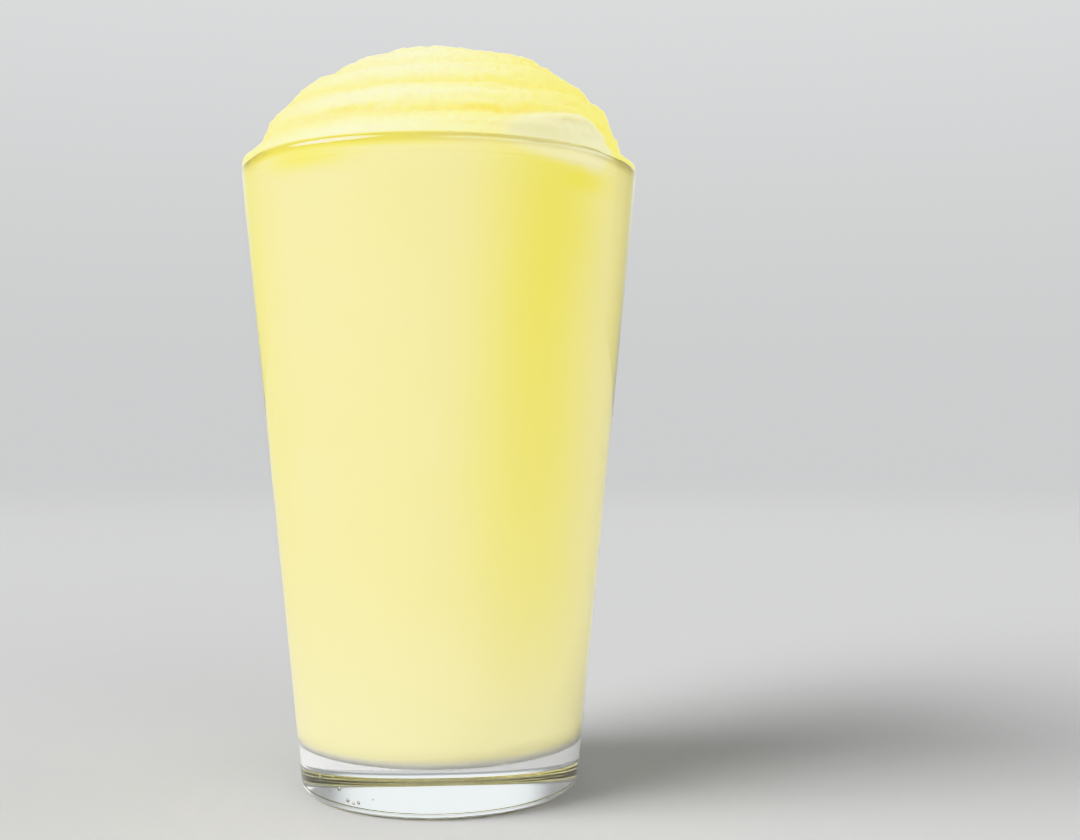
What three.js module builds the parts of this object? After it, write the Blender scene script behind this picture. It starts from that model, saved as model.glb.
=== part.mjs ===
// A pint glass of frozen lemonade, heaped above the rim in a soft swirl.
// Millimetres, +Z up. The origin is on the glass's axis, in the plane it stands on.
// The swirl's fold is at the front right, where the front faces -Y and the right is +X.
import * as THREE from "three";

// Glass
const rimHeight = 139.3;
const rimRadius = 44.45;
const lipThickness = 2.9;
const footRadius = 31.3;
const footRounding = 2.8;
const floorThickness = 10;
const floorRadius = 28.6;
const floorRounding = 6;

// Lemonade and its swirled top
const clearance = 0.3;
const levelBelowRim = 3.2;
const topHeight = 27.7;
const shoulderPower = 1.2;
const heightPower = 0.98;
const overhangAngle = THREE.MathUtils.degToRad(62);

// Coils of the swirl: one groove climbs round the dome as a spiral. Pitch, groove and lift
// are in degrees up the dome. The coils stand higher at the left and are calmer at the right.
const coilPitch = 16;
const frontGrooveAngle = 10.3;
const coilRelief = 0.9;
const coilRoundness = 0.7;
const leftLift = 4.8;
const leftLiftReach = THREE.MathUtils.degToRad(50);
const rightCalm = 0.55;
const rightCalmReach = THREE.MathUtils.degToRad(70);

// The dome is set in at its right and left flanks, from just above the rim, and leans to the right
const rightInset = 3.6;
const rightInsetAzimuth = THREE.MathUtils.degToRad(5.4);
const rightInsetReach = THREE.MathUtils.degToRad(60);
const rightInsetStart = 2.4;
const leftInset = 2.7;
const leftInsetReach = THREE.MathUtils.degToRad(80);
const leftInsetStart = 4.5;
const insetTop = 30;
const insetFade = 12;
const lean = 1;
const leanHeight = 25;

// The lowest coil's end lies as a fold at the front right: a teardrop whose tail runs to the left
const foldAzimuth = THREE.MathUtils.degToRad(-47);
const foldRise = 1.3;
const foldHalfHeight = 6.2;
const foldRightLength = 10;
const foldLeftLength = 24;
const foldRightDip = 0.3;
const foldSteepness = 2.2;
const foldRelief = 1.7;
const foldStart = 4;

// Facets
const segments = 72;
const domeRows = 30;
const lipSteps = 6;
const roundingSteps = 5;
const overhangSteps = 3;

// The lip is a full rounding, and the two walls are lines tangent to it and to the roundings below
const lipRounding = lipThickness / 2;
const lipCentre = new THREE.Vector2(rimRadius - lipRounding, rimHeight - lipRounding);
const footCentre = new THREE.Vector2(footRadius - footRounding, footRounding);
const floorCentre = new THREE.Vector2(floorRadius - floorRounding, floorThickness + floorRounding);

// Lean from the vertical of a line tangent to two circles whose radii differ by radiusDifference
function tangentLean(low, high, radiusDifference) {
  const across = high.clone().sub(low);
  return Math.atan2(across.x, across.y) - Math.asin(radiusDifference / across.length());
}

const outerLean = tangentLean(footCentre, lipCentre, footRounding - lipRounding);
const innerLean = tangentLean(floorCentre, lipCentre, floorRounding + lipRounding);

// A point on a circle, and the points from one angle to another, both ends included
function onCircle(centre, radius, angle) {
  return new THREE.Vector2(centre.x + radius * Math.cos(angle), centre.y + radius * Math.sin(angle));
}

function arc(centre, radius, from, to, steps) {
  const points = [];
  for (let i = 0; i <= steps; i += 1) {
    points.push(onCircle(centre, radius, THREE.MathUtils.lerp(from, to, i / steps)));
  }
  return points;
}

// Radius of the cavity at a height, less a gap square to the wall
function cavityRadius(height, gap) {
  const start = floorCentre.x + floorRounding * Math.cos(innerLean);
  const startHeight = floorCentre.y - floorRounding * Math.sin(innerLean);
  return start + (height - startHeight) * Math.tan(innerLean) - gap / Math.cos(innerLean);
}

// Smooth step from 0 to 1, the turn from a centre to an azimuth, and a smooth bump in azimuth
function ease(value) {
  return THREE.MathUtils.smoothstep(value, 0, 1);
}

function turnFrom(azimuth, centre) {
  return THREE.MathUtils.euclideanModulo(azimuth - centre + Math.PI, 2 * Math.PI) - Math.PI;
}

function bump(azimuth, centre, reach) {
  const share = THREE.MathUtils.clamp(turnFrom(azimuth, centre) / reach, -1, 1);
  return Math.cos(share * Math.PI / 2) ** 2;
}

// Shift to the right at a height above the rim
function leanAt(above) {
  return lean * ease(above / leanHeight);
}

// A closed turned body, whose profile may change with the azimuth.
// Every profile starts and ends on the axis and has the same number of points.
function turned(profileAt) {
  const rows = profileAt(0).length;
  const geometry = new THREE.LatheGeometry(profileAt(0), segments);
  for (let i = 0; i <= segments; i += 1) {
    const azimuth = 2 * Math.PI * (i % segments) / segments;
    profileAt(azimuth).forEach((point, row) => {
      const x = point.x * Math.cos(azimuth) + leanAt(point.y - rimHeight);
      const y = point.x * Math.sin(azimuth);
      geometry.attributes.position.setXYZ(i * rows + row, x, y, point.y);
    });
  }
  geometry.computeVertexNormals();
  return geometry;
}

// Glass: flat foot with a rounded edge, leaning wall, round lip, rounded cavity floor
function glassProfile() {
  return [
    new THREE.Vector2(0, 0),
    ...arc(footCentre, footRounding, -Math.PI / 2, -outerLean, roundingSteps),
    onCircle(lipCentre, lipRounding, -outerLean),
    ...arc(lipCentre, lipRounding, 0, Math.PI, lipSteps).slice(0, -1),
    onCircle(lipCentre, lipRounding, Math.PI - innerLean),
    ...arc(floorCentre, floorRounding, -innerLean, -Math.PI / 2, roundingSteps),
    new THREE.Vector2(0, floorThickness),
  ];
}

// Lemonade: fills the cavity up to a level just below the lip
const level = rimHeight - levelBelowRim;

function lemonadeProfile() {
  const top = level - clearance / 2;
  return [
    new THREE.Vector2(0, floorThickness + clearance),
    ...arc(floorCentre, floorRounding - clearance, -Math.PI / 2, -innerLean, roundingSteps),
    new THREE.Vector2(cavityRadius(top, clearance), top),
    new THREE.Vector2(0, top),
  ];
}

// Height of the coil above its grooves, from 0 to 1, at an angle up the dome in degrees
function coilAt(azimuth, degrees) {
  const lift = leftLift * bump(azimuth, Math.PI, leftLiftReach);
  const climb = (degrees - lift - frontGrooveAngle) / coilPitch;
  const turns = climb - (THREE.MathUtils.radToDeg(turnFrom(azimuth, 0)) + 90) / 360;
  return (Math.sin(Math.PI * turns) ** 2) ** coilRoundness;
}

// Height of the fold above the dome, from 0 to 1
function foldAt(azimuth, height) {
  const along = turnFrom(azimuth, foldAzimuth) * cavityRadius(rimHeight, 0);
  const up = height - rimHeight - foldRise + foldRightDip * Math.max(along, 0);
  const length = along > 0 ? foldRightLength : foldLeftLength;
  return ease(foldSteepness * (1 - Math.hypot(along / length, up / foldHalfHeight)));
}

// How far the dome is set in, at a height above the rim
function insetAt(azimuth, above) {
  const right = bump(azimuth, rightInsetAzimuth, rightInsetReach) * ease(above / rightInsetStart);
  const left = bump(azimuth, Math.PI, leftInsetReach) * ease(above / leftInsetStart);
  return (rightInset * right + leftInset * left) * ease((insetTop - above) / insetFade);
}

// Swirled top: a flat underside, a plug inside the lip, an overhang round the lip, then the swirled dome
function topProfile(azimuth) {
  const bottom = level + clearance / 2;
  const wallEnd = Math.PI - innerLean;
  const overhang = arc(lipCentre, lipRounding + clearance, wallEnd, overhangAngle, overhangSteps);
  const edge = overhang.at(-1);
  const profile = [
    new THREE.Vector2(0, bottom),
    new THREE.Vector2(cavityRadius(bottom, clearance), bottom),
    ...overhang,
  ];
  const rise = rimHeight + topHeight - edge.y;
  const relief = coilRelief * (1 - rightCalm * bump(azimuth, 0, rightCalmReach));
  for (let i = 1; i <= domeRows; i += 1) {
    const angle = (Math.PI / 2) * (i / domeRows);
    const degrees = THREE.MathUtils.radToDeg(angle);
    const radius = edge.x * Math.max(Math.cos(angle), 0) ** shoulderPower;
    const height = edge.y + rise * Math.sin(angle) ** heightPower;
    const outward = new THREE.Vector2(rise * Math.cos(angle), edge.x * Math.sin(angle)).normalize();
    const above = height - rimHeight;
    const fade = ease((degrees - 2) / 8) * ease((90 - degrees) / 16);
    const fold = foldAt(azimuth, height);
    const coil = (coilAt(azimuth, degrees) - 1) * relief * (1 - fold) * fade;
    const out = coil + foldRelief * fold * ease(above / foldStart);
    profile.push(new THREE.Vector2(
      Math.max(radius + outward.x * out - insetAt(azimuth, above), 0),
      height + outward.y * out,
    ));
  }
  return profile;
}

// Finishes
const finishes = {
  glass: new THREE.MeshStandardMaterial({
    color: "#eef3f2", roughness: 0.03, metalness: 0, transparent: true, opacity: 0.35,
  }),
  lemonade: new THREE.MeshStandardMaterial({ color: "#f3ea9b", roughness: 0.45, metalness: 0 }),
  top: new THREE.MeshStandardMaterial({ color: "#fbf5b0", roughness: 0.55, metalness: 0 }),
};

function addPiece(group, name, profileAt, finish) {
  const mesh = new THREE.Mesh(turned(profileAt), finish);
  mesh.name = name;
  group.add(mesh);
}

const glassOfLemonade = new THREE.Group();
addPiece(glassOfLemonade, "glass", glassProfile, finishes.glass);
addPiece(glassOfLemonade, "lemonade", lemonadeProfile, finishes.lemonade);
addPiece(glassOfLemonade, "swirl_top", topProfile, finishes.top);

export default glassOfLemonade;
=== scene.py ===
import math
import bpy
import numpy as np
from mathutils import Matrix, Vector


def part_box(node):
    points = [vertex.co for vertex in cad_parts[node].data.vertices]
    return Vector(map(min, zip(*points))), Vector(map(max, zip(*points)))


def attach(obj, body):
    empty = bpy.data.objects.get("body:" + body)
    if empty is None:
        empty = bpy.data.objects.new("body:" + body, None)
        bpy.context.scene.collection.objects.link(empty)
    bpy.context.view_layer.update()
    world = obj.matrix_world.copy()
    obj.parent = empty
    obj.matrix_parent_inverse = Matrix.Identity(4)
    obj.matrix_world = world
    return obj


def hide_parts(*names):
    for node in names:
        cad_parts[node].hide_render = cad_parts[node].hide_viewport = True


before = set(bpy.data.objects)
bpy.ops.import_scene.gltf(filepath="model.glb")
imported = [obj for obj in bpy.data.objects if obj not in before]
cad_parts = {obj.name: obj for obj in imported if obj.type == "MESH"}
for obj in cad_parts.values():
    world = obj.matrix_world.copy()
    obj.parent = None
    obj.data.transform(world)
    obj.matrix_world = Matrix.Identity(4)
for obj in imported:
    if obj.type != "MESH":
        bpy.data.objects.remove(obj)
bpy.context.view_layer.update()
print("stage: frame loaded")

mm = 0.001

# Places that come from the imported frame
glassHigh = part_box("glass")[1]
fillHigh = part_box("lemonade")[1]
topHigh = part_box("swirl_top")[1]
rimRadius, rimHeight = glassHigh.x, glassHigh.z
level = fillHigh.z

# Where the photograph was taken from: nearly level, 0.3 m away
cameraPlace = {
    "distance": 305.2 * mm,   # from the glass's axis
    "height": 81.6 * mm,
    "turnRight": 4.264,       # degrees, the glass stands left of the middle
    "tiltUp": 0.199,          # degrees
    "lens": 44.36,
    "sensorWidth": 36,
    "nearest": 10 * mm,       # what is nearer than this isn't shown
}


# A camera in front of the glass, which looks along +Y but for its turn and tilt
def makeCamera(place):
    data = bpy.data.cameras.new("camera")
    data.lens = place["lens"]
    data.sensor_width = place["sensorWidth"]
    data.clip_start = place["nearest"]
    camera = bpy.data.objects.new("camera", data)
    bpy.context.scene.collection.objects.link(camera)
    camera.location = (0, -place["distance"], place["height"])
    camera.rotation_euler = (math.radians(90 + place["tiltUp"]), 0, -math.radians(place["turnRight"]))
    bpy.context.scene.camera = camera


makeCamera(cameraPlace)
print("stage: camera placed")


# Faces for rows of points whose columns wrap round, with the two poles numbered after them:
# squares between neighbouring rows, and triangles from the end rows to the poles
def poledFaces(rows, cols):
    index = np.arange(rows * cols).reshape(rows, cols)
    nextIndex = np.roll(index, -1, axis=1)
    low, high = rows * cols, rows * cols + 1
    quads = np.stack([index[:-1], nextIndex[:-1], nextIndex[1:], index[1:]], axis=-1).reshape(-1, 4)
    bottom = np.stack([np.full(cols, low), nextIndex[0], index[0]], axis=-1)
    top = np.stack([np.full(cols, high), index[-1], nextIndex[-1]], axis=-1)
    return quads, bottom, top


# A grid of points, rows by columns, becomes a closed mesh: the columns wrap round,
# and the first and last rows each close on one point
def closedGrid(name, x, y, z):
    body = np.stack([x[1:-1], y[1:-1], z[1:-1]], axis=-1).reshape(-1, 3)
    poles = [[x[0, 0], y[0, 0], z[0, 0]], [x[-1, 0], y[-1, 0], z[-1, 0]]]
    quads, bottom, top = poledFaces(len(x) - 2, x.shape[1])
    return makePiece(name, np.concatenate([body, poles]), quads.tolist() + bottom.tolist() + top.tolist())


# A smooth mesh from its points and faces, in an object that stays at the origin
def makePiece(name, points, faces):
    mesh = bpy.data.meshes.new(name)
    mesh.from_pydata(points.tolist(), [], faces)
    mesh.shade_smooth()
    mesh.update()
    piece = bpy.data.objects.new(name, mesh)
    bpy.context.scene.collection.objects.link(piece)
    return piece


# A value for each mesh point, kept as an attribute that a material reads
def addAttribute(piece, name, grid):
    values = np.concatenate([grid[1:-1].ravel(), [grid[0, 0], grid[-1, 0]]]).astype(np.float32)
    piece.data.attributes.new(name, "FLOAT", "POINT").data.foreach_set("value", values)


# A smooth step from 0 to 1: three times the square less twice the cube
def ease(value):
    value = np.clip(value, 0, 1)
    return value * value * (3 - 2 * value)


# The turn from a centre to an azimuth, from minus to plus half a turn
def turnFrom(azimuth, centre):
    return (azimuth - centre + math.pi) % (2 * math.pi) - math.pi


# A smooth bump about an azimuth: a squared cosine that ends at the reach
def bump(azimuth, centre, reach):
    return np.cos(np.clip(turnFrom(azimuth, centre) / reach, -1, 1) * math.pi / 2) ** 2


# Points on a circle from one angle to another
def arc(centre, radius, start, end, steps):
    angle = np.linspace(start, end, steps)
    return np.stack([centre[0] + radius * np.cos(angle), centre[1] + radius * np.sin(angle)], axis=-1)


# Points at even steps on a line from one point to another
def straight(start, end, steps):
    share = np.linspace(0, 1, steps)[:, None]
    return np.asarray(start) * (1 - share) + np.asarray(end) * share


hashTop = 0xFFFF   # the highest value of latticeHash


# A random whole number for each lattice point: its three coordinates and a seed are multiplied
# by large numbers, then mixed by exclusive or, shifts and products that are cut to 32 bits
def latticeHash(ix, iy, iz, seed):
    h = (ix * 73856093) ^ (iy * 19349663) ^ (iz * 83492791) ^ (seed * 2654435761)
    h = h & 0xFFFFFFFF
    h = ((h ^ (h >> 13)) * 1540483477) & 0xFFFFFFFF
    h = ((h ^ (h >> 15)) * 2246822519) & 0xFFFFFFFF
    return (h ^ (h >> 13)) & hashTop


# Smooth noise from 0 to 1: hashed values at the corners of a cell, blended by smooth steps
def softNoise(points, cell, seed):
    place = points / cell
    base = np.floor(place).astype(np.int64)
    blend = ease(place - base)
    total = np.zeros(points.shape[:-1])
    for corner in range(8):
        step = np.array([corner & 1, (corner >> 1) & 1, (corner >> 2) & 1])
        ix, iy, iz = np.moveaxis(base + step, -1, 0)
        weight = np.prod(np.where(step == 1, blend, 1 - blend), axis=-1)
        total += weight * latticeHash(ix, iy, iz, seed) / hashTop
    return total


# Grains: one point is set at random in each cell, and the height falls from 1 at the
# nearest such point to 0 at a distance of one cell
def grainNoise(points, cell, seed):
    place = points / cell
    base = np.floor(place).astype(np.int64)
    nearest = np.full(points.shape[:-1], 9.0)   # squared, and more than any gap that counts
    for corner in range(27):
        step = np.array([corner % 3, corner // 3 % 3, corner // 9]) - 1
        ix, iy, iz = np.moveaxis(base + step, -1, 0)
        jitter = np.stack([latticeHash(ix, iy, iz, seed + k) / hashTop for k in range(3)], axis=-1)
        gap = ((base + step + jitter - place) ** 2).sum(axis=-1)
        nearest = np.minimum(nearest, gap)
    return np.clip(1 - nearest, 0, 1)


# Glass
glassShape = {
    "lipThickness": 2.9 * mm,
    "footRadius": 31.3 * mm,
    "footRounding": 2.8 * mm,
    "floorThickness": 10 * mm,
    "floorRadius": 28.6 * mm,
    "floorRounding": 6 * mm,
    "around": 256,
    # points along each stretch of the profile
    "flatSteps": 12,
    "footSteps": 16,
    "wallSteps": 40,
    "lipSteps": 33,
    "floorSteps": 20,
}

lipRounding = glassShape["lipThickness"] / 2
lipCentre = np.array([rimRadius - lipRounding, rimHeight - lipRounding])
footCentre = np.array([glassShape["footRadius"] - glassShape["footRounding"], glassShape["footRounding"]])
floorCentre = np.array([
    glassShape["floorRadius"] - glassShape["floorRounding"],
    glassShape["floorThickness"] + glassShape["floorRounding"],
])


# Lean from the vertical of a line tangent to two circles
def tangentLean(low, high, radiusDifference):
    across = high - low
    return math.atan2(across[0], across[1]) - math.asin(radiusDifference / math.hypot(*across))


outerLean = tangentLean(footCentre, lipCentre, glassShape["footRounding"] - lipRounding)
innerLean = tangentLean(floorCentre, lipCentre, glassShape["floorRounding"] + lipRounding)


# Radius at a height of a line that leans outwards from the end of a rounding
def lineRadius(centre, rounding, lean, height):
    start = centre[0] + rounding * math.cos(lean)
    startHeight = centre[1] - rounding * math.sin(lean)
    return start + (height - startHeight) * math.tan(lean)


# Radius of the cavity at a height, plus a reach into the wall
def cavityRadius(height, reach=0.0):
    radius = lineRadius(floorCentre, glassShape["floorRounding"], innerLean, height)
    return radius + reach / math.cos(innerLean)


# A profile of (radius, height) points is carried round the axis
def turnedGrid(profile, around):
    azimuth = np.linspace(0, 2 * math.pi, around, endpoint=False)[None, :]
    radius, height = profile[:, :1], profile[:, 1:]
    return radius * np.cos(azimuth), radius * np.sin(azimuth), height + 0 * azimuth


# The glass's profile: from the middle of the flat foot, round its edge,
# up the wall, over the lip, down the cavity and across its floor to the axis
def glassProfile(shape):
    foot = arc(footCentre, shape["footRounding"], -math.pi / 2, -outerLean, shape["footSteps"])
    lip = arc(lipCentre, lipRounding, -outerLean, math.pi - innerLean, shape["lipSteps"])
    floor = arc(floorCentre, shape["floorRounding"], -innerLean, -math.pi / 2, shape["floorSteps"])
    return np.concatenate([
        straight((0, 0), foot[0], shape["flatSteps"]),
        foot[1:],
        straight(foot[-1], lip[0], shape["wallSteps"])[1:],
        lip[1:],
        straight(lip[-1], floor[0], shape["wallSteps"])[1:],
        floor[1:],
        straight(floor[-1], (0, shape["floorThickness"]), shape["flatSteps"])[1:],
    ])


pintGlass = closedGrid("pint_glass", *turnedGrid(glassProfile(glassShape), glassShape["around"]))
print("stage: glass made")

# Bubbles caught in the thick base, near its left front: azimuth in degrees, then height,
# depth in from the wall and radius in millimetres
bubbleSpots = {
    "places": [
        (-145.0, 6.4, 0.7, 0.44), (-133.0, 5.1, 0.7, 0.48), (-128.5, 3.0, 0.6, 0.42),
        (-125.8, 2.6, 0.6, 0.32), (-123.4, 2.9, 0.6, 0.40), (-139.0, 4.2, 1.0, 0.24),
        (-117.0, 4.0, 1.0, 0.22), (-136.5, 7.3, 0.8, 0.24),
    ],
    "sides": 14,
    "rings": 8,
}


# Each bubble is a ball: rings of points between its two poles, and all balls share one mesh
def makeBubbles(spots):
    count, sides, rings = len(spots["places"]), spots["sides"], spots["rings"]
    azimuth, height, depth, size = np.array(spots["places"]).T
    azimuth, height, size = np.radians(azimuth), height * mm, size * mm
    reach = lineRadius(footCentre, glassShape["footRounding"], outerLean, height) - depth * mm
    centre = np.stack([reach * np.cos(azimuth), reach * np.sin(azimuth), height], axis=-1)
    lift = np.linspace(-math.pi / 2, math.pi / 2, rings + 1)[1:-1, None]
    turn = np.linspace(0, 2 * math.pi, sides, endpoint=False)[None, :]
    ring = np.stack([
        np.cos(lift) * np.cos(turn),
        np.cos(lift) * np.sin(turn),
        np.sin(lift) + 0 * turn,
    ], axis=-1)
    ball = np.concatenate([ring.reshape(-1, 3), [[0, 0, -1], [0, 0, 1]]])
    points = (centre[:, None, :] + size[:, None, None] * ball[None]).reshape(-1, 3)
    start = (np.arange(count) * len(ball))[:, None, None]
    faces = []
    for part in poledFaces(rings - 1, sides):
        faces += (start + part[None]).reshape(-1, part.shape[1]).tolist()
    return makePiece("base_bubbles", points, faces)


bubbles = makeBubbles(bubbleSpots)
print("stage: bubbles made")

# The fold: the lowest coil's end, laid over the lip at the front right. It is a teardrop
# whose tail runs to the left, and it also shows through the glass below the lip.
foldPlace = {
    "azimuth": math.radians(-47),
    "rise": 1.3 * mm,                  # its middle, above the rim
    "halfHeight": 6.2 * mm,
    "rightLength": 10 * mm,
    "leftLength": 24 * mm,
    "rightDip": 0.3,                   # how steeply its right half slopes down
}


# Distance from the fold's middle, where 1 is at its edge: an ellipse with a longer left half
def foldDistance(azimuth, height, place):
    along = turnFrom(azimuth, place["azimuth"]) * cavityRadius(rimHeight)
    up = height - rimHeight - place["rise"] + place["rightDip"] * np.maximum(along, 0)
    side = np.where(along > 0, along / place["rightLength"], along / place["leftLength"])
    return np.hypot(side, up / place["halfHeight"])


# Where the frozen lemonade is deeper in colour, on the glass's side: a band of painted shade under the lip,
# painted shadows under the fold and under the left overhang, a streak that runs down, and painted shade
# towards the two sides. Azimuths are in degrees.
paintedShadeAndStreakPlaces = {
    "bandLow": 136.4 * mm,
    "bandHigh": 139.7 * mm,
    "bandSoft": 1.2 * mm,
    "bandCentre": -128,
    "bandReach": 60,
    # azimuth, reach, height and half height, for the painted shadow under the fold and the one under the left
    # overhang
    "shadowPatches": [(-47, 28, 132.4 * mm, 7.0 * mm), (-131, 27, 136.4 * mm, 4.6 * mm)],
    "streakCentre": -56,
    "streakReach": 34,
    "streakHigh": 134 * mm,
    "streakLow": 18 * mm,
    "streakDepth": 0.78,
    # azimuth, reach and depth of the painted shade towards the two sides
    "shadedSides": [(-174, 38, 0.5), (-6, 34, 0.34)],
    "shadedSidesLow": 20 * mm,
    "waver": 5,                        # degrees that the streak wanders
    "waverCell": 34 * mm,
    "waverSeed": 21,
}


# How deep the colour is, from 0 to 1, at each point of a surface against the glass: the highest of its band
# of painted shade, painted shadow patches, streak and painted shade at the sides, each a bump in azimuth
# times smooth steps in height
def paintedShadeAndStreakAt(points, place):
    azimuth = np.arctan2(points[..., 1], points[..., 0])
    height = points[..., 2]
    soft = place["bandSoft"]
    band = ease((height - place["bandLow"]) / soft) * ease((place["bandHigh"] - height) / soft)
    band = band * bump(azimuth, math.radians(place["bandCentre"]), math.radians(place["bandReach"]))
    patch = 0 * height
    for centre, reach, middle, tall in place["shadowPatches"]:
        up = np.cos(np.clip((height - middle) / tall, -1, 1) * math.pi / 2) ** 2
        patch = np.maximum(patch, bump(azimuth, math.radians(centre), math.radians(reach)) * up)
    waver = 2 * softNoise(points, place["waverCell"], place["waverSeed"]) - 1
    wander = math.radians(place["waver"]) * waver
    streak = bump(azimuth + wander, math.radians(place["streakCentre"]), math.radians(place["streakReach"]))
    fall = ease((height - place["streakLow"]) / (place["streakHigh"] - place["streakLow"])) ** 0.5
    streak = streak * fall * ease((place["bandHigh"] - height) / soft) * place["streakDepth"]
    edge = 0 * height
    for centre, reach, depth in place["shadedSides"]:
        edge = edge + depth * bump(azimuth, math.radians(centre), math.radians(reach))
    edge = edge * ease((height - place["shadedSidesLow"]) / (place["streakHigh"] - place["shadedSidesLow"])) ** 0.5
    return np.clip(np.maximum(np.maximum(band, patch), np.maximum(streak, edge)), 0, 1)


# Lemonade in the glass
fillShape = {
    "reachIntoWall": 0.2 * mm,
    "topRounding": 0.3 * mm,
    "around": 256,
    "paintedBaseGreyTop": 12.8 * mm,           # painted reflection: near the glass's floor the lemonade turns pale grey, so that the base mirrors grey
    "paintedBaseGreySoft": 2.4 * mm,
    "paleTop": 54 * mm,                # below this it grows a little paler
    "paleBottom": 14 * mm,
    "foldSharpness": 3,
    "wallSteps": 140,
    "edgeSteps": 8,
}


# The lemonade's profile: the cavity's own, grown by the reach into the wall, up to its level
def fillProfile(shape):
    reach = shape["reachIntoWall"]
    rounding = shape["topRounding"]
    flatSteps, floorSteps = glassShape["flatSteps"], glassShape["floorSteps"]
    floor = arc(floorCentre, glassShape["floorRounding"] + reach, -math.pi / 2, -innerLean, floorSteps)
    edgeRadius = cavityRadius(level - rounding, reach)
    edge = arc((edgeRadius - rounding, level - rounding), rounding, 0, math.pi / 2, shape["edgeSteps"])
    return np.concatenate([
        straight((0, floor[0][1]), floor[0], flatSteps),
        floor[1:],
        straight(floor[-1], edge[0], shape["wallSteps"])[1:],
        edge[1:],
        straight(edge[-1], (0, level), flatSteps)[1:],
    ])


# The turned lemonade, with the values that its colours follow
def makeFill(shape):
    grid = turnedGrid(fillProfile(shape), shape["around"])
    piece = closedGrid("frozen_lemonade", *grid)
    # painted shade under the lip, under the fold and at the sides, and the deeper streak
    addAttribute(piece, "paintedShadeAndStreak", paintedShadeAndStreakAt(np.stack(grid, axis=-1), paintedShadeAndStreakPlaces))
    # painted reflection: pale grey near the glass's floor, which the base mirrors
    addAttribute(piece, "paintedBaseGrey", ease((shape["paintedBaseGreyTop"] - grid[2]) / shape["paintedBaseGreySoft"]))
    addAttribute(piece, "paleAndHighlight", ease((shape["paleTop"] - grid[2]) / (shape["paleTop"] - shape["paleBottom"])))
    edge = foldDistance(np.arctan2(grid[1], grid[0]), grid[2], foldPlace)
    addAttribute(piece, "fold", ease(shape["foldSharpness"] * (1 - edge)))
    return piece


lemonade = makeFill(fillShape)
print("stage: lemonade made")

# Swirled top
topShape = {
    "shoulderPower": 1.2,
    "heightPower": 0.98,
    "overhang": math.radians(5),       # how far round the lip the lowest coil reaches, at the sides
    "frontOverhang": math.radians(66),
    "frontCentre": math.radians(-96),
    "frontReach": math.radians(61),
    "frontSoft": math.radians(14),
    "reachIntoLip": 0.1 * mm,          # the wet contact leaves no air against the lip
    "reachIntoWall": 0.2 * mm,
    "overlap": 1.0 * mm,               # how far its underside reaches down into the lemonade
    "headroom": 1.15 * mm,             # kept below the frame's highest point for the grain
    "lean": 1.0 * mm,                  # the dome stands a little to the right
    "leanHeight": 25 * mm,
    "leftIn": 2.7 * mm,                # how far the left flank is set in
    "leftInReach": math.radians(80),
    "leftInStart": 2.5 * mm,
    "rightIn": 3.6 * mm,               # and the right one
    "rightInAzimuth": math.radians(5.4),
    "rightInReach": math.radians(60),
    "rightInStart": 1.6 * mm,
    "insetTop": 30 * mm,
    "insetFade": 12 * mm,
    "coilPitch": 16.0,                 # degrees up the dome for each turn
    "frontGroove": 10.3,               # degrees up the dome, at the front
    "leftLift": 4.8,                   # degrees that the coils stand higher at the left
    "leftLiftReach": math.radians(50),
    "coilWander": 1.5,                 # degrees
    "coilWanderCell": 26 * mm,
    "coilSeed": 5,
    "coilRelief": 0.9 * mm,
    "coilRoundness": 0.7,
    "coilLow": (2, 8),                 # the coils grow from the first angle, over the second
    "coilHigh": (90, 16),              # and fade below the first, over the second
    "topCalm": 0.25,                   # share of the relief that the grooves lose near the top
    "topPale": 0.6,                    # and of their painted shade
    "topCalmStart": 33,                # degrees up the dome
    "topCalmSpan": 9,
    "rightCalm": 0.6,                  # share of the relief that the right flank loses
    "rightCalmReach": math.radians(70),
    "foldRelief": 1.4 * mm,
    "foldSharpness": 2.2,
    "foldCalm": 0.6,                   # share of the grain that it loses
    "foldStart": 6 * mm,               # above the rim, where the fold has its full relief
    "grainCell": 1.9 * mm,
    "grainHeight": 0.7 * mm,
    "grainSeed": 7,
    "fineCell": 0.9 * mm,
    "fineHeight": 0.16 * mm,
    "fineSeed": 11,
    "grainMiddle": 0.55,               # the height of the grains that leaves the dome where it is
    "grainLow": (1.5, 5),              # as for the coils
    "grainHigh": (90, 4),
    "ridgeHeight": 1.5 * mm,           # fine ridges that run along the coils
    "ridgeLength": 9 * mm,
    "ridgeSpan": 2.7,                  # degrees up the dome
    "ridgeSeed": 17,
    "lumpCell": 8 * mm,
    "lumpHeight": 0.5 * mm,
    "lumpSeed": 3,
    "wallGap": 0.05 * mm,              # the grain stays this far inside the frame's widest radius
    "frontCalm": 0.35,                 # share of the grain that the smoothed front loses
    "frontCalmHigh": (70, 30),         # up to here on the dome
    "highlightCentre": math.radians(-105),  # where the painted highlight on the crests is strongest
    "highlightReach": math.radians(70),
    "highlightElsewhere": 0.05,
    "backHighlight": 0.7,                   # and how strong that painted highlight is at the back
    "backHighlightCentre": math.radians(80),
    "backHighlightReach": math.radians(110),
    "around": 540,
    "underRows": 4,
    "wallRows": 12,
    "lipRows": 20,
    "domeRows": 150,
}


# A smooth growth from 0 above an angle, and a smooth fall to 0 below one, each over a span
def growAbove(degrees, place):
    return ease((degrees - place[0]) / place[1])


def fadeBelow(degrees, place):
    return ease((place[0] - degrees) / place[1])


# How high a coil stands above its groove, from 0 to 1: a squared sine raised to a power,
# whose groove climbs once round the dome in each pitch
def coilAt(azimuth, degrees, shape):
    turns = (degrees - shape["frontGroove"]) / shape["coilPitch"] - (np.degrees(azimuth) + 90) / 360
    return (np.sin(math.pi * turns) ** 2) ** shape["coilRoundness"]


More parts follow.
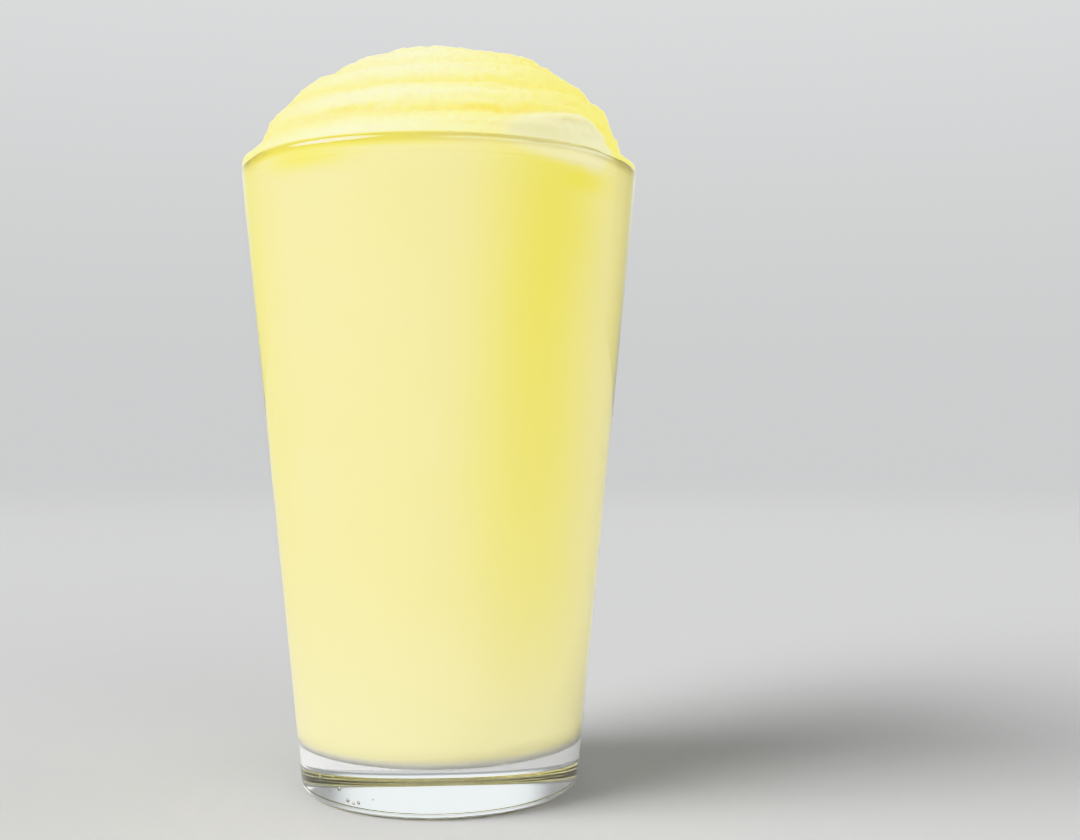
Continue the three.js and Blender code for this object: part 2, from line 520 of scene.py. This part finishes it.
# The swirled top: across its underside inside the lemonade, out to the wall where the
# lemonade's edge starts to round, up the wall, round the lip, then over the dome.
# On the dome the radius falls as a power of the angle's cosine and the height grows as a power
# of its sine. Each point then moves along an ellipse's normal by the coils, the fold, the ridges,
# the lumps and the grain, and inwards where a flank is set in.
def makeTop(shape):
    azimuth = np.linspace(-math.pi, math.pi, shape["around"], endpoint=False)[None, :]
    away = np.abs(turnFrom(azimuth, shape["frontCentre"]))
    front = ease((shape["frontReach"] - away) / shape["frontSoft"])
    overhangEnd = shape["overhang"] * (1 - front) + shape["frontOverhang"] * front
    wallEnd = math.pi - innerLean
    turn = wallEnd + (overhangEnd - wallEnd) * np.linspace(0, 1, shape["lipRows"])[:, None]
    lipRadius = lipCentre[0] + (lipRounding - shape["reachIntoLip"]) * np.cos(turn)
    lipHeight = lipCentre[1] + (lipRounding - shape["reachIntoLip"]) * np.sin(turn)
    edgeRadius, edgeHeight = lipRadius[-1:], lipHeight[-1:]
    bottom = level - shape["overlap"]
    wallStart = level - fillShape["topRounding"]
    wallRadius = cavityRadius(wallStart, shape["reachIntoWall"])
    under = straight((0, bottom), (wallRadius - shape["overlap"], bottom), shape["underRows"])
    wall = straight((wallRadius, wallStart), (lipRadius[0, 0], lipHeight[0, 0]), shape["wallRows"])[:-1]
    below = np.concatenate([under, wall])
    belowRadius, belowHeight = below[:, :1] + 0 * azimuth, below[:, 1:] + 0 * azimuth

    angle = np.linspace(0, math.pi / 2, shape["domeRows"] + 1)[1:, None]
    degrees = np.degrees(angle)
    rise = topHigh.z - shape["headroom"] - edgeHeight
    radius = edgeRadius * np.maximum(np.cos(angle), 0) ** shape["shoulderPower"]
    height = edgeHeight + rise * np.sin(angle) ** shape["heightPower"]
    outR, outZ = rise * np.cos(angle), edgeRadius * np.sin(angle)
    length = np.hypot(outR, outZ)
    outR, outZ = outR / length, outZ / length
    above = height - rimHeight
    fade = growAbove(degrees, shape["coilLow"]) * fadeBelow(degrees, shape["coilHigh"])
    fold = ease(shape["foldSharpness"] * (1 - foldDistance(azimuth, height, foldPlace)))
    points = np.stack([radius * np.cos(azimuth), radius * np.sin(azimuth), height], axis=-1)
    wander = shape["coilWander"] * (2 * softNoise(points, shape["coilWanderCell"], shape["coilSeed"]) - 1)
    wander = wander - shape["leftLift"] * bump(azimuth, math.pi, shape["leftLiftReach"])
    coil = coilAt(azimuth, degrees + wander, shape)
    nearTop = ease((degrees - shape["topCalmStart"]) / shape["topCalmSpan"])
    calm = 1 - shape["rightCalm"] * bump(azimuth, 0, shape["rightCalmReach"])
    calm = calm * (1 - shape["topCalm"] * nearTop)
    rightInset = shape["rightIn"] * bump(azimuth, shape["rightInAzimuth"], shape["rightInReach"])
    leftInset = shape["leftIn"] * bump(azimuth, math.pi, shape["leftInReach"])
    inset = rightInset * ease(above / shape["rightInStart"]) + leftInset * ease(above / shape["leftInStart"])
    inset = inset * ease((shape["insetTop"] - above) / shape["insetFade"])
    out = (coil - 1) * shape["coilRelief"] * calm * (1 - fold) * fade
    out = out + shape["foldRelief"] * fold * ease(above / shape["foldStart"])
    radius = radius + outR * out - inset
    height = height + outZ * out

    points = np.stack([radius * np.cos(azimuth), radius * np.sin(azimuth), height], axis=-1)
    lumps = softNoise(points, shape["lumpCell"], shape["lumpSeed"]) - 0.5
    grain = grainNoise(points, shape["grainCell"], shape["grainSeed"]) - shape["grainMiddle"]
    fine = grainNoise(points, shape["fineCell"], shape["fineSeed"]) - shape["grainMiddle"]
    span = degrees / shape["ridgeSpan"] + 0 * azimuth
    along = points[..., :2] / shape["ridgeLength"]
    ridges = softNoise(np.concatenate([along, span[..., None]], axis=-1), 1, shape["ridgeSeed"]) - 0.5
    rough = shape["lumpHeight"] * lumps + shape["grainHeight"] * grain + shape["fineHeight"] * fine
    rough = rough + shape["ridgeHeight"] * ridges
    smoothed = shape["frontCalm"] * bump(azimuth, shape["highlightCentre"], shape["highlightReach"])
    smoothed = smoothed * fadeBelow(degrees, shape["frontCalmHigh"])
    rough = rough * growAbove(degrees, shape["grainLow"]) * fadeBelow(degrees, shape["grainHigh"])
    rough = rough * (1 - shape["foldCalm"] * fold) * (1 - smoothed)
    radius = np.clip(radius + outR * rough, 0, rimRadius - shape["wallGap"])
    height = height + outZ * rough
    height[-1] = height[-2].mean()
    radius[-1] = 0

    allRadius = np.concatenate([belowRadius, lipRadius, radius])
    allHeight = np.concatenate([belowHeight, lipHeight, height])
    lean = shape["lean"] * ease((allHeight - rimHeight) / shape["leanHeight"])
    x, y = allRadius * np.cos(azimuth) + lean, allRadius * np.sin(azimuth)
    piece = closedGrid("lemonade_swirl", x, y, allHeight)
    rowsBelow = len(below) + len(lipRadius)
    flat = np.zeros((rowsBelow, shape["around"]))
    # painted highlight: the crests are paler about the front left and the back, and the grooves and the
    # flanks elsewhere keep a deeper yellow, which is painted shade
    around = bump(azimuth, shape["highlightCentre"], shape["highlightReach"])
    around = around + shape["backHighlight"] * bump(azimuth, shape["backHighlightCentre"], shape["backHighlightReach"])
    paleAndHighlight = 1 - (1 - coil) * (1 - shape["topPale"] * nearTop)
    paleAndHighlight = paleAndHighlight * (shape["highlightElsewhere"] + (1 - shape["highlightElsewhere"]) * around)
    addAttribute(piece, "paleAndHighlight", np.concatenate([flat, paleAndHighlight]))
    addAttribute(piece, "wet", np.concatenate([flat + 1, 0 * paleAndHighlight]))
    edge = foldDistance(azimuth, np.concatenate([belowHeight, lipHeight, rimHeight + above]), foldPlace)
    addAttribute(piece, "fold", ease(fillShape["foldSharpness"] * (1 - edge)))
    # the painted shade and the streak, on the rows against the glass only
    paintedShadeAndStreak = paintedShadeAndStreakAt(np.stack([x, y, allHeight], axis=-1), paintedShadeAndStreakPlaces)
    paintedShadeAndStreak[rowsBelow:] = 0
    addAttribute(piece, "paintedShadeAndStreak", paintedShadeAndStreak)
    return piece


swirl = makeTop(topShape)
print("stage: swirled top made")


# A material, with its nodes, its links and its shader
def newMaterial(name):
    material = bpy.data.materials.new(name)
    material.use_nodes = True
    nodes, links = material.node_tree.nodes, material.node_tree.links
    return material, nodes, links, nodes["Principled BSDF"]


# One colour turns into another as a value goes from 0 to 1
def mixColours(nodes, links, factor, low, high):
    mix = nodes.new("ShaderNodeMix")
    mix.data_type = "RGBA"
    for name, colour in (("A", low), ("B", high)):
        if isinstance(colour, tuple):
            mix.inputs[name].default_value = colour
        else:
            links.new(colour, mix.inputs[name])
    links.new(factor, mix.inputs["Factor"])
    return mix.outputs["Result"]


# A value that a piece keeps for each of its points
def attributeOf(nodes, name):
    node = nodes.new("ShaderNodeAttribute")
    node.attribute_name = name
    return node.outputs["Fac"]


glassFinish = {
    "colour": (1.0, 1.0, 1.0, 1),
    "roughness": 0.0,
    "ior": 1.5,
    "haze": 0.25,                      # the cold glass's faint bloom
    "hazeRoughness": 0.45,
}


# Clear glass under a thin rough coat, which gives it its haze
def makeGlassMaterial(finish):
    material, *_, shader = newMaterial("clear glass")
    shader.inputs["Base Color"].default_value = finish["colour"]
    shader.inputs["Roughness"].default_value = finish["roughness"]
    shader.inputs["IOR"].default_value = finish["ior"]
    shader.inputs["Transmission Weight"].default_value = 1
    shader.inputs["Coat Weight"].default_value = finish["haze"]
    shader.inputs["Coat Roughness"].default_value = finish["hazeRoughness"]
    return material


# A bubble bends light as air does within glass, so its index is one over the glass's
def makeBubbleMaterial(finish):
    material, *_, shader = newMaterial("bubbles in the glass")
    shader.inputs["Base Color"].default_value = finish["colour"]
    shader.inputs["Roughness"].default_value = 0
    shader.inputs["IOR"].default_value = 1 / finish["ior"]
    shader.inputs["Transmission Weight"].default_value = 1
    return material


fillFinish = {
    "colour": (0.985, 0.912, 0.41, 1),
    "mottle": (0.99, 0.922, 0.48, 1),
    "paleAndHighlight": (0.99, 0.93, 0.52, 1),
    # the deep yellow of the painted shade and of the streak
    "paintedShadeAndStreak": (0.985, 0.90, 0.095, 1),
    "fold": (0.975, 0.925, 0.53, 1),
    # painted reflection: the pale grey near the glass's floor
    "paintedBaseGrey": (0.92, 0.91, 0.84, 1),
    "mottleScale": 55,
    "mottleDetail": 4,
    "roughness": 0.45,
    "specular": 0.1,
}


# A faint mottle, which turns into the other colours where the piece's own values say so
def makeFillMaterial(finish):
    material, nodes, links, shader = newMaterial("frozen lemonade")
    place = nodes.new("ShaderNodeTexCoord")
    noise = nodes.new("ShaderNodeTexNoise")
    noise.inputs["Scale"].default_value = finish["mottleScale"]
    noise.inputs["Detail"].default_value = finish["mottleDetail"]
    links.new(place.outputs["Object"], noise.inputs["Vector"])
    colour = mixColours(nodes, links, noise.outputs["Fac"], finish["colour"], finish["mottle"])
    colour = mixColours(nodes, links, attributeOf(nodes, "paleAndHighlight"), colour, finish["paleAndHighlight"])
    colour = mixColours(nodes, links, attributeOf(nodes, "paintedShadeAndStreak"), colour, finish["paintedShadeAndStreak"])
    colour = mixColours(nodes, links, attributeOf(nodes, "fold"), colour, finish["fold"])
    # painted reflection: pale grey near the glass's floor
    colour = mixColours(nodes, links, attributeOf(nodes, "paintedBaseGrey"), colour, finish["paintedBaseGrey"])
    links.new(colour, shader.inputs["Base Color"])
    shader.inputs["Roughness"].default_value = finish["roughness"]
    shader.inputs["Specular IOR Level"].default_value = finish["specular"]
    return material


topFinish = {
    # painted shade: the deep yellow of the grooves and of the flanks away from the light; painted highlight:
    # the pale yellow of the crests
    "groove": (0.93, 0.83, 0.14, 1),
    "paintedHighlightCrest": (0.965, 0.915, 0.465, 1),
    # painted shade: the fold's grey cream, darker than the crests
    "fold": (0.61, 0.59, 0.35, 1),
    "roughness": 0.5,
    "specular": 0.3,
    "softness": 0.6,
    "softReach": (1.0, 0.8, 0.3),
    "softScale": 3 * mm,
    "iceScale": 900,                   # the finest ice, as a bump
    "iceStrength": 0.25,
    "iceDepth": 0.1 * mm,
}


# Where it is wet against the glass it has the lemonade's own colours, and no softness
def makeTopMaterial(finish):
    material, nodes, links, shader = newMaterial("lemonade swirl")
    wet = attributeOf(nodes, "wet")
    # painted shade in the grooves and on the flanks, painted highlight on the crests
    colour = mixColours(nodes, links, attributeOf(nodes, "paleAndHighlight"), finish["groove"], finish["paintedHighlightCrest"])
    colour = mixColours(nodes, links, wet, colour, fillFinish["colour"])
    # the deep yellow of the painted shade and of the streak, on the rows against the glass
    colour = mixColours(nodes, links, attributeOf(nodes, "paintedShadeAndStreak"), colour, fillFinish["paintedShadeAndStreak"])
    # the fold's darker grey cream on the dry rows is painted shade
    fold = mixColours(nodes, links, wet, finish["fold"], fillFinish["fold"])
    colour = mixColours(nodes, links, attributeOf(nodes, "fold"), colour, fold)
    links.new(colour, shader.inputs["Base Color"])
    place = nodes.new("ShaderNodeTexCoord")
    noise = nodes.new("ShaderNodeTexNoise")
    noise.inputs["Scale"].default_value = finish["iceScale"]
    links.new(place.outputs["Object"], noise.inputs["Vector"])
    relief = nodes.new("ShaderNodeBump")
    relief.inputs["Strength"].default_value = finish["iceStrength"]
    relief.inputs["Distance"].default_value = finish["iceDepth"]
    links.new(noise.outputs["Fac"], relief.inputs["Height"])
    links.new(relief.outputs["Normal"], shader.inputs["Normal"])
    shader.inputs["Roughness"].default_value = finish["roughness"]
    shader.inputs["Specular IOR Level"].default_value = finish["specular"]
    soft = nodes.new("ShaderNodeMapRange")
    soft.inputs["To Min"].default_value = finish["softness"]
    soft.inputs["To Max"].default_value = 0
    links.new(wet, soft.inputs["Value"])
    links.new(soft.outputs["Result"], shader.inputs["Subsurface Weight"])
    shader.inputs["Subsurface Radius"].default_value = finish["softReach"]
    shader.inputs["Subsurface Scale"].default_value = finish["softScale"]
    return material


pintGlass.data.materials.append(makeGlassMaterial(glassFinish))
bubbles.data.materials.append(makeBubbleMaterial(glassFinish))
lemonade.data.materials.append(makeFillMaterial(fillFinish))
swirl.data.materials.append(makeTopMaterial(topFinish))

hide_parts("glass")
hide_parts("lemonade")
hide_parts("swirl_top")
for piece in (pintGlass, bubbles, lemonade, swirl):
    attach(piece, "root")
print("stage: materials given")

# Studio: a pale floor that passes into an even backdrop, in a soft field of light
studio = {
    "floorRadius": 12.0,
    "floorSides": 128,
    "floorDrop": 0.05 * mm,         # just under the foot, so that the two don't share a plane
    "floorColour": (0.28, 0.28, 0.28, 1),
    "horizon": (0.645, 0.65, 0.655, 1),
    "sky": (0.80, 0.805, 0.81, 1),
    "fadeStart": 0.45,              # distance from the glass where the floor starts to fade
    "fadeEnd": 1.8,
    "ambient": 0.4,
    "low": 0.64,                    # the light field's strength at the horizon
    "lowBehind": 0.34,              # and there behind the glass
    "lowTop": 0.24,                 # sine of the elevation where it has its full strength
    "behindTint": (0.93, 0.985, 1.0, 1),
    "behindStart": 0.3,             # how far a direction points away from the camera
    "behindEnd": 0.8,
    "skyTop": 0.5,                  # sine of the elevation where the backdrop is palest
    "bounces": 16,
}


# The floor is a disc, rings of points round its middle. Its tone passes into the
# backdrop's with the distance from the glass.
def makeFloor(place):
    around = place["floorSides"]
    azimuth = np.linspace(0, 2 * math.pi, around, endpoint=False)
    radius, height = place["floorRadius"], -place["floorDrop"]
    ring = np.stack([radius * np.cos(azimuth), radius * np.sin(azimuth), height + 0 * azimuth], axis=-1)
    index = np.arange(around)
    faces = np.stack([np.full(around, around), index, np.roll(index, -1)], axis=-1)
    floor = makePiece("studio_floor", np.concatenate([ring, [[0, 0, height]]]), faces.tolist())
    material, nodes, links, shader = newMaterial("studio floor")
    shader.inputs["Base Color"].default_value = place["floorColour"]
    shader.inputs["Roughness"].default_value = 1
    shader.inputs["Specular IOR Level"].default_value = 0
    coordinate = nodes.new("ShaderNodeTexCoord")
    distance = nodes.new("ShaderNodeVectorMath")
    distance.operation = "LENGTH"
    links.new(coordinate.outputs["Object"], distance.inputs[0])
    fade = nodes.new("ShaderNodeMapRange")
    fade.interpolation_type = "SMOOTHERSTEP"
    fade.inputs["From Min"].default_value = place["fadeStart"]
    fade.inputs["From Max"].default_value = place["fadeEnd"]
    links.new(distance.outputs["Value"], fade.inputs["Value"])
    glow = nodes.new("ShaderNodeEmission")
    glow.inputs["Color"].default_value = place["horizon"]
    blend = nodes.new("ShaderNodeMixShader")
    links.new(fade.outputs["Result"], blend.inputs["Fac"])
    links.new(shader.outputs[0], blend.inputs[1])
    links.new(glow.outputs[0], blend.inputs[2])
    links.new(blend.outputs[0], nodes["Material Output"].inputs["Surface"])
    floor.data.materials.append(material)
    return floor


makeFloor(studio)

# Soft pools of light in the surround: azimuth from the camera's side towards the right,
# and elevation, both in degrees. Each is full within its core and gone at its edge.
pools = {
    "key": {"azimuth": -70, "elevation": 32, "core": 8, "edge": 30, "strength": 21.3},
    "front": {"azimuth": 30, "elevation": 15, "core": 5, "edge": 40, "strength": 5.0},
    "side": {"azimuth": 90, "elevation": 12, "core": 5, "edge": 35, "strength": 4.9},
    "back": {"azimuth": 180, "elevation": 24, "core": 12, "edge": 40, "strength": 0.85},
}


# A smooth step from 0 to a top value, as a value goes from the start of a range to its end
def smoothRange(nodes, links, value, start, end, top=1.0):
    node = nodes.new("ShaderNodeMapRange")
    node.interpolation_type = "SMOOTHSTEP"
    node.inputs["From Min"].default_value = start
    node.inputs["From Max"].default_value = end
    node.inputs["To Max"].default_value = top
    links.new(value, node.inputs["Value"])
    return node.outputs["Result"]


# The surround: an even light with its soft pools. The camera itself sees a plain backdrop,
# from the floor's own tone at the horizon to a paler one above.
def makeWorld(place):
    world = bpy.data.worlds.new("surround")
    world.use_nodes = True
    nodes, links = world.node_tree.nodes, world.node_tree.links
    coordinate = nodes.new("ShaderNodeTexCoord")
    total = None
    for pool in pools.values():
        turn, lift = math.radians(pool["azimuth"]), math.radians(pool["elevation"])
        towards = nodes.new("ShaderNodeVectorMath")
        towards.operation = "DOT_PRODUCT"
        towards.inputs[1].default_value = (
            math.sin(turn) * math.cos(lift), -math.cos(turn) * math.cos(lift), math.sin(lift),
        )
        links.new(coordinate.outputs["Generated"], towards.inputs[0])
        edge, core = math.cos(math.radians(pool["edge"])), math.cos(math.radians(pool["core"]))
        glow = smoothRange(nodes, links, towards.outputs["Value"], edge, core, pool["strength"])
        add = nodes.new("ShaderNodeMath")
        if total is None:
            add.inputs[0].default_value = place["ambient"]
        else:
            links.new(total, add.inputs[0])
        links.new(glow, add.inputs[1])
        total = add.outputs[0]
    split = nodes.new("ShaderNodeSeparateXYZ")
    links.new(coordinate.outputs["Generated"], split.inputs[0])
    raised = smoothRange(nodes, links, split.outputs["Z"], 0, place["lowTop"])
    behind = smoothRange(nodes, links, split.outputs["Y"], place["behindStart"], place["behindEnd"])
    low = nodes.new("ShaderNodeMix")
    low.inputs["A"].default_value = place["low"]
    low.inputs["B"].default_value = place["lowBehind"]
    links.new(behind, low.inputs["Factor"])
    field = nodes.new("ShaderNodeMix")
    links.new(low.outputs["Result"], field.inputs["A"])
    links.new(raised, field.inputs["Factor"])
    links.new(total, field.inputs["B"])
    lightField = nodes["Background"]
    tint = mixColours(nodes, links, behind, (1, 1, 1, 1), place["behindTint"])
    links.new(tint, lightField.inputs["Color"])
    links.new(field.outputs["Result"], lightField.inputs["Strength"])
    rise = smoothRange(nodes, links, split.outputs["Z"], 0, place["skyTop"])
    tone = mixColours(nodes, links, rise, place["horizon"], place["sky"])
    backdrop = nodes.new("ShaderNodeBackground")
    links.new(tone, backdrop.inputs["Color"])
    path = nodes.new("ShaderNodeLightPath")
    choice = nodes.new("ShaderNodeMixShader")
    links.new(path.outputs["Is Camera Ray"], choice.inputs["Fac"])
    links.new(lightField.outputs[0], choice.inputs[1])
    links.new(backdrop.outputs[0], choice.inputs[2])
    links.new(choice.outputs[0], nodes["World Output"].inputs["Surface"])
    bpy.context.scene.world = world


makeWorld(studio)
scene = bpy.context.scene
scene.view_settings.view_transform = "Khronos PBR Neutral"
scene.cycles.max_bounces = studio["bounces"]
scene.cycles.transmission_bounces = studio["bounces"]
print("stage: studio lit")
